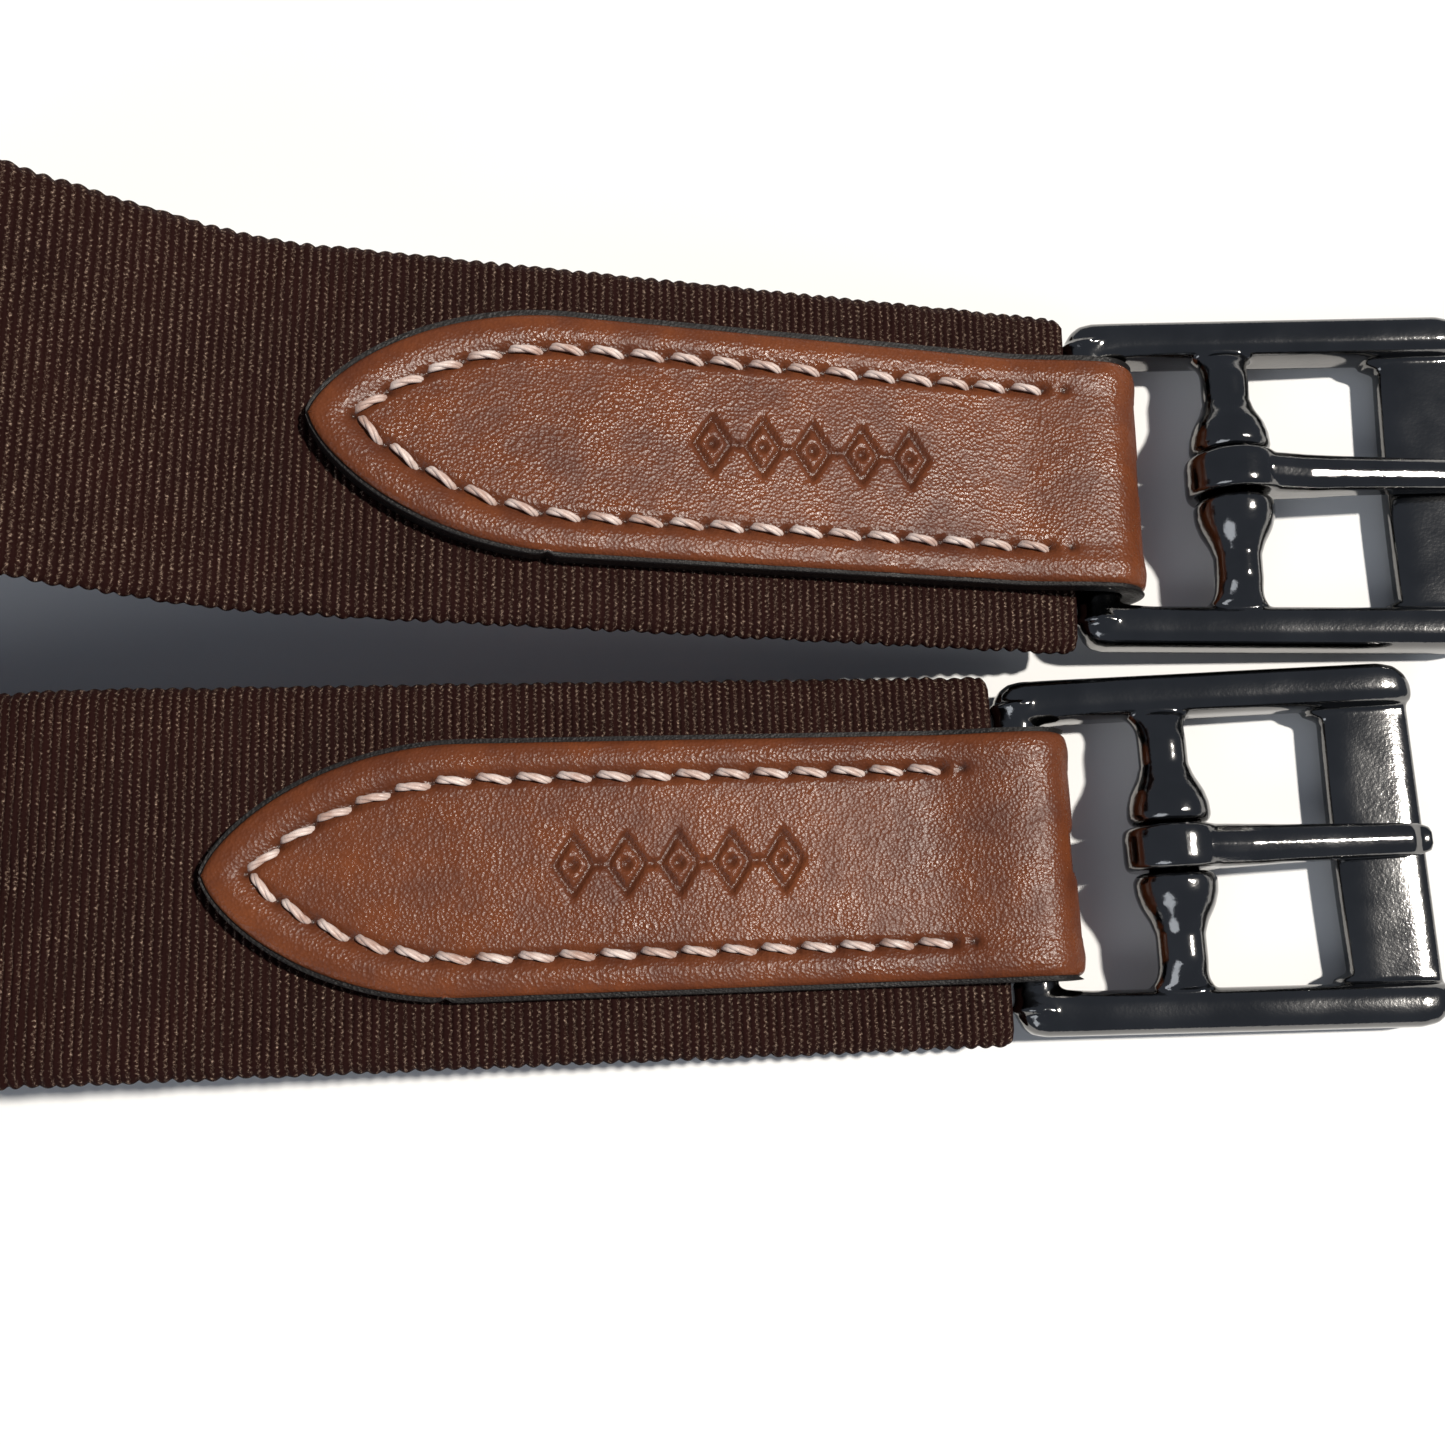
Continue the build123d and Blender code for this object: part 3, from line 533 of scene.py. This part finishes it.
def cast_piece(name, solids, material, voxel, rounds):
    """Solids grown together into one casting with soft inner corners, as it leaves the mould and the mop."""
    points, faces, start = [], [], 0
    for solid_points, solid_faces in solids:
        points.append(solid_points)
        faces += [[i + start for i in face] for face in solid_faces]
        start += len(solid_points)
    rough = mesh_object(name, np.vstack(points), faces, material)
    remesh = rough.modifiers.new("grown", "REMESH")
    remesh.mode, remesh.voxel_size, remesh.use_smooth_shade = "VOXEL", voxel * MM, True
    smooth = rough.modifiers.new("mopped", "SMOOTH")
    smooth.factor, smooth.iterations = 0.5, rounds
    bpy.context.view_layer.update()
    mesh = bpy.data.meshes.new_from_object(rough.evaluated_get(bpy.context.evaluated_depsgraph_get()))
    bpy.data.objects.remove(rough)
    count = len(mesh.vertices)
    points = np.zeros(count * 3, np.float32)
    mesh.vertices.foreach_get("co", points)
    corners = [list(p.vertices) for p in mesh.polygons]
    return points.reshape(-1, 3) / MM, corners


def frame_solids():
    """The buckle frame's bars, about the end bar's axis."""
    rail_section = superellipse(6.0, 2.9)
    x = np.concatenate([[-2.45, -2.2, -1.6, -0.8], np.linspace(0.5, 38.0, 16), [39.5, 40.5, 41.0, 41.25]])
    near = np.where(x > 0.4, 1, np.sqrt(np.clip(1 - ((0.4 - x) / 2.9) ** 2, 0.03, 1)))
    far = np.where(x > 38.0, np.sqrt(np.clip(1 - ((x - 38.0) / 3.4) ** 2, 0.03, 1)), 1)
    solids = []
    for side in (1, -1):
        rail = []
        for px, n, f in zip(x, near, far):
            width = RAIL_WIDTH * min(n, f) ** 0.7
            height = 2 * RAIL_HALF_HEIGHT * n * (0.6 + 0.4 * f)
            outward = RAIL_MIDDLE + FLARE * px / FAR_OUT - (RAIL_WIDTH - width) * 0.42
            corner = 0.95 * max(0.0, 1 - max(px, 0.0) / 5.0) ** 2
            width, outward = width + corner, outward - corner / 2
            rail.append((px, side * outward, -RAIL_HALF_HEIGHT * n + height / 2, width, height))
        solids.append(lofted(rail, rail_section))
    end_bar = [(d, 2.2 + 0.9 * max(0, (abs(d) - 13.0) / 3.0) ** 2) for d in np.linspace(-15.8, 15.8, 33)]
    solids.append(turned(end_bar))
    reach = np.concatenate([np.linspace(0, 2.40, 3), np.linspace(2.45, 9.4, 24), np.linspace(10, 16.0, 12)])
    radius = np.interp(
        reach,
        [0, 2.40, 2.45, 2.8, 3.4, 4.6, 5.8, 6.6, 7.2, 7.8, 8.4, 8.5, 12.4, 13.1, 13.6, 14.1, 14.7, 15.4, 16.0],
        [2.3, 2.3, 3.5, 4.0, 4.2, 4.1, 3.75, 3.35, 3.0, 2.75, 2.62, 2.48, 2.48, 2.65, 3.0, 3.5, 2.7, 1.9, 1.2],
    )
    profile = [(-d, r) for d, r in zip(reach[::-1], radius[::-1])]
    profile += [(d, r) for d, r in zip(reach[1:], radius[1:])]
    bar, bar_faces = turned(profile)
    into_rail = np.clip((np.abs(bar[:, 1]) - 11.2) / 3.4, 0, 1) ** 1.5
    bar[:, 2] = bar[:, 2] * (1 - 0.42 * into_rail) - 1.45 * into_rail
    solids.append((bar + (BAR_AT, 0, BAR_UP - 0.15), bar_faces))
    plate_section = superellipse(5.0, 4.0, 48)
    plate = []
    for py in np.linspace(-PLATE_HALF, PLATE_HALF, 25):
        inner = FAR_IN - 0.4 * (1 - (py / PLATE_HALF) ** 2)
        middle_z = -RAIL_HALF_HEIGHT + PLATE_THICK / 2
        plate.append((py, (inner + FAR_OUT) / 2, middle_z, FAR_OUT - inner, PLATE_THICK))
    plate_points, plate_faces = lofted(plate, plate_section)
    solids.append((plate_points[:, [1, 0, 2]], [face[::-1] for face in plate_faces]))
    for side in (1, -1):
        web = [(FAR_IN - 1.5, side * 14.2, -1.0, 1.2, 2.6), (FAR_IN + 2, side * 13.6, -1.0, 3.0, 2.8)]
        web.append((FAR_IN + 8.4, side * 13.8, -1.0, 3.0, 2.8))
        solids.append(lofted(web, superellipse(2.6, 2.6, 20)))
    return solids


def tongue_solids():
    """The tongue's eye and its blade, whose top is ground to a blunt ridge and which thins to the tip."""
    rest, tip = -RAIL_HALF_HEIGHT + 3.3, FAR_OUT - 0.4
    rim = [(-2.2, 2.42), (-2.2, 4.45), (-1.9, 4.78), (-1.2, 4.9)]
    rim += [(-d, r) for d, r in rim[::-1]]
    around = 56
    ring = np.arange(around) / around * 2 * math.pi
    eye = np.array([(r * math.cos(a), d, r * math.sin(a)) for d, r in rim for a in ring])
    eye_faces = tube_faces(len(rim), around, caps=False)
    last = (len(rim) - 1) * around
    for i in range(around):
        j = (i + 1) % around
        eye_faces.append([last + i, last + j, j, i])
    blade = []
    for t in np.linspace(0, 1, 22):
        x = BAR_AT + 3.0 + (tip - BAR_AT - 3.0) * t
        low = rest if x > FAR_IN - 4 else np.interp(x, [BAR_AT, FAR_IN - 4], [BAR_UP - 1.2, rest])
        high = np.interp(t, [0, 0.06, 0.2, 1], [BAR_UP + 4.1, BAR_UP + 3.75, BAR_UP + 3.0, rest + 2.4])
        width = np.interp(t, [0, 0.12, 0.4, 0.96, 1], [4.4, 4.3, 3.8, 3.2, 2.4])
        if t > 0.95:
            high -= 0.7
        blade.append((x, 0, (low + high) / 2, width, high - low))
    section = [(-1, -0.8), (-0.8, -1), (0.8, -1), (1, -0.8), (1, 0.35), (0.86, 0.62), (0.5, 0.92), (0, 1)]
    section += [(-0.5, 0.92), (-0.86, 0.62), (-1, 0.35)]
    return [(eye + (BAR_AT, 0, BAR_UP), eye_faces), lofted(blade, section)]


def steel_material():
    """Dark polished casting: near black with faint sand-cast pits and uneven lustre."""
    material, add, surface, links = shader("dark_polished_steel")
    place = add("TexCoord").outputs["Object"]
    cloud = add("TexNoise", {"Vector": place, "Scale": 180.0, "Detail": 4.0}).outputs["Fac"]
    pits = add("TexNoise", {"Vector": place, "Scale": 2600.0, "Detail": 3.0, "Roughness": 0.6}).outputs["Fac"]
    dark_steel, pale_steel = (0.12, 0.119, 0.118, 1), (0.21, 0.207, 0.203, 1)
    tone = add("Mix", {0: cloud, 6: dark_steel, 7: pale_steel}, data_type="RGBA").outputs[2]
    links.new(tone, surface.inputs["Base Color"])
    lustre = add("MapRange", {0: cloud, 1: 0.3, 2: 0.7, 3: 0.07, 4: 0.13}).outputs[0]
    links.new(lustre, surface.inputs["Roughness"])
    bump = add("Bump", {"Height": pits, "Strength": 0.16, "Distance": 0.00010})
    links.new(bump.outputs[0], surface.inputs["Normal"])
    surface.inputs["Metallic"].default_value = 1.0
    return material


steel = steel_material()
frame_points, frame_faces = cast_piece("casting", frame_solids(), steel, FRAME_VOXEL, 5)
tongue_points, tongue_faces = cast_piece("forging", tongue_solids(), steel, TONGUE_VOXEL, 3)
for name in STRAPS:
    place = on_strap(leaning(frame_points, FRAME_TILT), name)
    casting = mesh_object("buckle_casting_" + name, place, frame_faces, steel)
    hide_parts("buckle_frame_" + name)
    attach(casting, "buckle_" + name)
    place = on_strap(leaning(tongue_points, FRAME_TILT), name)
    tongue = mesh_object("tongue_" + name, place, tongue_faces, steel)
    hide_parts("buckle_tongue_" + name)
    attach(tongue, "tongue_" + name)


# ---- padded body ----
# The body is a long shaped panel: soft lining leather below, felt padding, and chestnut leather drawn down
# over it and sewn to the lining all round, 2 mm in from the edge. The webbing is sewn in at both ends.
BODY_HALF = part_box("lining_leather")[1].x / MM
MEAN_HALF, WAVE_HALF, ELBOW_AT = 50.5, 7.0, 240.0
LINING_TOP, RIM_TOP, END_TOP, CROWN, EDGE_ROUND = 1.6, 4.0, 6.3, 10.0, 1.0
PAD_HALF = BODY_HALF - 38.0


def body_half(x):
    """Half width of the body: wide in the middle and at the ends, narrow behind the elbows."""
    return MEAN_HALF + WAVE_HALF * np.cos(math.pi * np.asarray(x) / ELBOW_AT)


def swell(t):
    """A soft shoulder from 0 to 1, steep at first and then level."""
    t = np.clip(t, 0, 1)
    return np.sin(t * math.pi / 2) ** 1.2


def body_layer(name, material, low, top, inset=0.0, rows=430, columns=81):
    """A closed layer of the body between a flat or stepped foot and a top that rises to its crown."""
    x = np.linspace(-BODY_HALF, BODY_HALF, rows)
    side = np.sin(np.linspace(-1, 1, columns) * math.pi / 2)
    across = np.concatenate([side, side[::-1]])
    y = across[None, :] * (body_half(x) - inset)[:, None]
    px = x[:, None] + 0 * y
    inward = (1 - np.abs(across[None, :])) * (body_half(x) - inset)[:, None]
    high, base = top(px, y, inward), low(px, y, inward)
    is_top = (np.arange(2 * columns) < columns)[None, :]
    into_edge = np.clip(1 - inward / EDGE_ROUND, 0, 1)
    rounding = EDGE_ROUND * (1 - np.sqrt(np.clip(1 - into_edge ** 2, 0, 1)))
    z = np.where(is_top, high - rounding * 0.5, base + rounding * 0.35)
    dark = np.exp(-(inward / 0.5) ** 2)
    points = np.stack([px, y, z], -1)
    return mesh_object(
        name, points, tube_faces(rows, 2 * columns), material,
        painted_edge=dark.ravel(), stitch_hole=np.zeros(dark.size),
    )


def crown_height(x, y, inward):
    """Height of the padded panel's outer face: a flat sewn margin, a soft shoulder, and a full middle."""
    lengthwise = swell((PAD_HALF + 2 - np.abs(x)) / 16)
    ends = END_TOP - RIM_TOP
    shoulder = swell((inward - 3.2) / 13)
    pull = 0.16 * noise(np.stack([x, y], -1), 42.0, 77) + 0.05 * noise(np.stack([x, y], -1), 9.0, 78)
    channel = -0.35 * np.exp(-((inward - 2.4) / 0.8) ** 2)
    full = (CROWN - END_TOP) * lengthwise * shoulder
    return RIM_TOP + channel + (ends * swell((inward - 3.2) / 5) + full) + np.minimum(pull, 0) * shoulder


def level(height):
    """A flat face at one height."""
    return lambda x, y, inward: np.full_like(x, height)


lining_tan = leather_material("lining_leather", (0.40, 0.20, 0.10, 1), (0.23, 0.10, 0.05, 1), 0.7, 0.55)
felt, add, surface, links = shader("felt_padding")
place = add("TexCoord").outputs["Object"]
fluff = add("TexNoise", {"Vector": place, "Scale": 900.0, "Detail": 6.0}).outputs["Fac"]
wool = add("Mix", {0: fluff, 6: (0.42, 0.38, 0.31, 1), 7: (0.66, 0.62, 0.54, 1)}, data_type="RGBA").outputs[2]
links.new(wool, surface.inputs["Base Color"])
links.new(add("Bump", {"Height": fluff, "Distance": 0.0004}).outputs[0], surface.inputs["Normal"])
surface.inputs["Roughness"].default_value = 0.95
panel = body_layer("outer_panel", bridle, level(2.9), crown_height)
pad = body_layer(
    "padding", felt, level(LINING_TOP + 0.05),
    lambda x, y, inward: np.minimum(crown_height(x, y, inward + 2) - 1.6, 8.0),
    inset=3.2, rows=200, columns=31,
)
lining = body_layer("lining", lining_tan, level(0.0), level(LINING_TOP), rows=200, columns=31)
for piece, node, slot in (
    (panel, "outer_leather", "body_leather"),
    (pad, "padding_core", "padding"),
    (lining, "lining_leather", "lining_leather"),
):
    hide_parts(node)
    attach(piece, "girth_body")


# ---- straps and patches on the body ----
# A stay strap of the same leather runs along the middle of the outer side to take the pull, and a patch covers
# the webbing's ends. Both are cut from 2 mm leather, edges rounded and painted, and sewn down.
STAY_HALF, STAY_WIDE, STAY_POINT = PAD_HALF - 8, 22.0, 26.0
PATCH_OUT, PATCH_LONG, PATCH_TAPER = BODY_HALF - 2.5, 30.0, 3.0
STAY_THICK, PATCH_THICK, STRIP_POINTS = 2.4, 2.0, 41


def laid_strip(name, xs, half_width, thick, seat):
    """A flat leather strip on the body, with rounded painted edges, following what it lies on."""
    side = np.sin(np.linspace(-1, 1, STRIP_POINTS) * math.pi / 2)
    across = np.concatenate([side, side[::-1]])
    half = half_width(xs)
    y = across[None, :] * half[:, None]
    x = xs[:, None] + 0 * y
    end = np.minimum(np.abs(xs - xs[0]), np.abs(xs - xs[-1]))[:, None]
    inward = np.minimum((1 - np.abs(across[None, :])) * half[:, None], end + 0.05)
    is_top = (np.arange(2 * STRIP_POINTS) < STRIP_POINTS)[None, :]
    rounding = 0.8 * (1 - np.sqrt(np.clip(1 - np.clip(1 - inward / 0.8, 0, 1) ** 2, 0, 1)))
    groove = 0.22 * np.exp(-((inward - 3.6) / 0.7) ** 2)
    z = np.where(is_top, seat + thick - rounding - groove, seat + rounding * 0.4)
    dark = np.exp(-(inward / 0.6) ** 2)
    return mesh_object(
        name, np.stack([x, y, z], -1), tube_faces(len(xs), 2 * STRIP_POINTS), bridle,
        painted_edge=dark.ravel(), stitch_hole=np.zeros(dark.size),
    )


def stay_half(x):
    """The stay's half width: parallel, then a rounded point."""
    t = np.clip((STAY_HALF - np.abs(x)) / STAY_POINT, 0.0004, 1)
    return STAY_WIDE * np.sqrt(1 - (1 - t) ** 2)


def patch_half(x):
    """An end patch's half width: the body's less its margin, drawn in a little at the inner end."""
    return (body_half(x) - 7.2) * np.clip((np.abs(x) - BODY_HALF + 38) / PATCH_TAPER, 0.5, 1) ** 0.3


point = STAY_HALF - STAY_POINT * (1 - np.cos(np.linspace(0, math.pi / 2, 30)))
stay_x = np.concatenate([-point, np.linspace(-point[-1], point[-1], 300)[1:-1], point[::-1]])
stay = laid_strip("stay_strap", stay_x, stay_half, STAY_THICK, CROWN)
strips = [(stay, "centre_stay")]
for end, label in ((1, "right"), (-1, "left")):
    xs = end * np.linspace(PATCH_OUT, PATCH_OUT - PATCH_LONG - PATCH_TAPER, 60)
    patch = laid_strip("end_patch_" + label + "_leather", xs, patch_half, PATCH_THICK, END_TOP)
    strips.append((patch, "end_patch_" + label))
for piece, node in strips:
    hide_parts(node)
    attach(piece, "girth_body")


# ---- seams of the body ----
# The same waxed thread in a paler brown closes the body's long edges, holds the stay strap along both sides,
# and runs twice across each end patch, through the webbing. A box of stitches holds the dee's keeper.
body_thread = thread_material("body_thread", (0.72, 0.60, 0.50, 1), (0.46, 0.33, 0.25, 1))
UP = np.array([0.0, 0.0, 1.0])


def seam_places(line, height):
    """Middle and direction of each stitch along a line on the body."""
    holes = evenly(line, STITCH_PITCH)
    runs = np.diff(holes, axis=0)
    runs /= np.linalg.norm(runs, axis=1)[:, None]
    return [(np.array([*m, height]), np.array([*r, 0.0])) for m, r in zip((holes[:-1] + holes[1:]) / 2, runs)]


def body_seam(name, lines, height, node):
    """One object for all the stitches that a CAD thread stands for."""
    places = [place for line in lines for place in seam_places(line, height)]
    points, faces = stitch_skins(places, UP, lift=0.30, size=0.8, steps=7, around=5)
    seam = mesh_object(name, points, faces, body_thread)
    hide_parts(node)
    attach(seam, "girth_body")


long_x = np.linspace(4 - BODY_HALF, BODY_HALF - 4, 200)
edges = [np.stack([long_x, side * (body_half(long_x) - 2.4)], -1) for side in (1, -1)]
body_seam("edge_stitches", edges, RIM_TOP - 0.35, "edge_thread")
stay_run = STAY_HALF - STAY_POINT
rows = [np.array([[-stay_run, side * 18.4], [stay_run, side * 18.4]]) for side in (1, -1)]
body_seam("stay_stitches", rows, CROWN + STAY_THICK - 0.22, "stay_thread")
for end, label in ((1, "right"), (-1, "left")):
    rows = []
    for inward in (4.2, PATCH_LONG - 4.0):
        x = PATCH_OUT - inward
        reach = float(body_half(x)) - 11.5
        rows.append(np.array([[end * x, -reach], [end * x, reach]]))
    body_seam(f"patch_stitches_{label}", rows, END_TOP + PATCH_THICK - 0.05, "patch_thread_" + label)


# ---- centre dee ----
# A welded D of 4 mm wire for a breastplate or martingale hangs in a short strip of leather, humped over its
# straight side and sewn down to the stay strap on both sides of it.
KEEPER_HALF, KEEPER_WIDE, DEE_Z = 15.0, 12.0, joints["dee_swing"]["pos_m"][2] / MM
STAY_TOP, KEEPER_THICK = CROWN + STAY_THICK, 2.2
KEEPER_ROWS, KEEPER_POINTS = 91, 25
path_y = np.linspace(-KEEPER_HALF, KEEPER_HALF, KEEPER_ROWS)
hump = (DEE_Z + 2.35 - STAY_TOP) * np.exp(-(np.abs(path_y) / 4.1) ** 3.2)
side = np.sin(np.linspace(-1, 1, KEEPER_POINTS) * math.pi / 2)
across = np.concatenate([side, side[::-1]])
x = across[None, :] * KEEPER_WIDE + 0 * path_y[:, None]
end = (KEEPER_HALF - np.abs(path_y))[:, None]
inward = np.minimum((1 - np.abs(across[None, :])) * KEEPER_WIDE, end + 0.05)
is_top = (np.arange(2 * KEEPER_POINTS) < KEEPER_POINTS)[None, :]
rounding = 0.7 * (1 - np.sqrt(np.clip(1 - np.clip(1 - inward / 0.7, 0, 1) ** 2, 0, 1)))
z = STAY_TOP + hump[:, None] + np.where(is_top, KEEPER_THICK - rounding, rounding * 0.4)
y = path_y[:, None] + np.where(is_top, 1.1, 0.0) * np.sign(path_y[:, None]) * (hump[:, None] > 0.4)
dark = np.exp(-(inward / 0.6) ** 2)
keeper = mesh_object(
    "dee_keeper_leather", np.stack([x, y, z], -1), tube_faces(KEEPER_ROWS, 2 * KEEPER_POINTS), bridle,
    painted_edge=dark.ravel(), stitch_hole=np.zeros(dark.size),
)
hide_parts("dee_keeper")
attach(keeper, "girth_body")
rows = [np.array([[-9.5, y], [9.5, y]]) for y in (-12.5, -8.2, 8.2, 12.5)]
body_seam("keeper_stitches", rows, STAY_TOP + KEEPER_THICK - 0.1, "keeper_thread")
dee = frame["nodes"]["dee_ring"]
dee.data.materials.clear()
dee.data.materials.append(steel)


# ---- floor, lights and camera ----
# A plain pale floor, one strong light from the right, low enough to catch the leather's grain, a wide soft one
# from the front left and a dim cool surround. The camera looks down on the right end of the girth.
floor_mesh = bpy.data.meshes.new("floor")
floor_mesh.from_pydata([(-6, -6, 0), (6, -6, 0), (6, 6, 0), (-6, 6, 0)], [], [(0, 1, 2, 3)])
floor = bpy.data.objects.new("floor", floor_mesh)
bpy.context.scene.collection.objects.link(floor)
pale, add, surface, links = shader("pale_floor")
surface.inputs["Base Color"].default_value = (0.86, 0.86, 0.85, 1)
surface.inputs["Roughness"].default_value = 0.9
floor_mesh.materials.append(pale)
world = bpy.data.worlds.new("studio")
world.use_nodes = True
world.node_tree.nodes["Background"].inputs["Color"].default_value = (0.62, 0.70, 0.86, 1)
world.node_tree.nodes["Background"].inputs["Strength"].default_value = 0.2
bpy.context.scene.world = world
bpy.context.scene.view_settings.view_transform = "Standard"
sun_data = bpy.data.lights.new("key", "SUN")
sun_data.energy, sun_data.angle, sun_data.color = 4.4, math.radians(3.0), (1.0, 0.95, 0.88)
sun = bpy.data.objects.new("key", sun_data)
bpy.context.scene.collection.objects.link(sun)
sun.rotation_euler = Vector((0.60, 0.08, 0.80)).to_track_quat("Z", "Y").to_euler()
fill_data = bpy.data.lights.new("fill", "AREA")
fill_data.energy, fill_data.size, fill_data.color = 9, 1.2, (0.88, 0.93, 1.0)
fill = bpy.data.objects.new("fill", fill_data)
bpy.context.scene.collection.objects.link(fill)
fill.location = (-0.6, -1.5, 1.6)
fill.rotation_mode = "QUATERNION"
fill.rotation_quaternion = (Vector((0.3, 0, 0)) - fill.location).to_track_quat("-Z", "Y")
camera_data = bpy.data.cameras.new("camera")
camera_data.sensor_width, camera_data.lens = 36.0, 36.1
camera_data.clip_start, camera_data.clip_end = 0.005, 50
camera = bpy.data.objects.new("camera", camera_data)
bpy.context.scene.collection.objects.link(camera)
camera.location = (0.6026, -0.0354, 0.1562)
camera.rotation_mode = "YXZ"
camera.rotation_euler = (math.radians(11.3), math.radians(4.0), math.radians(-2.0))
bpy.context.scene.camera = camera
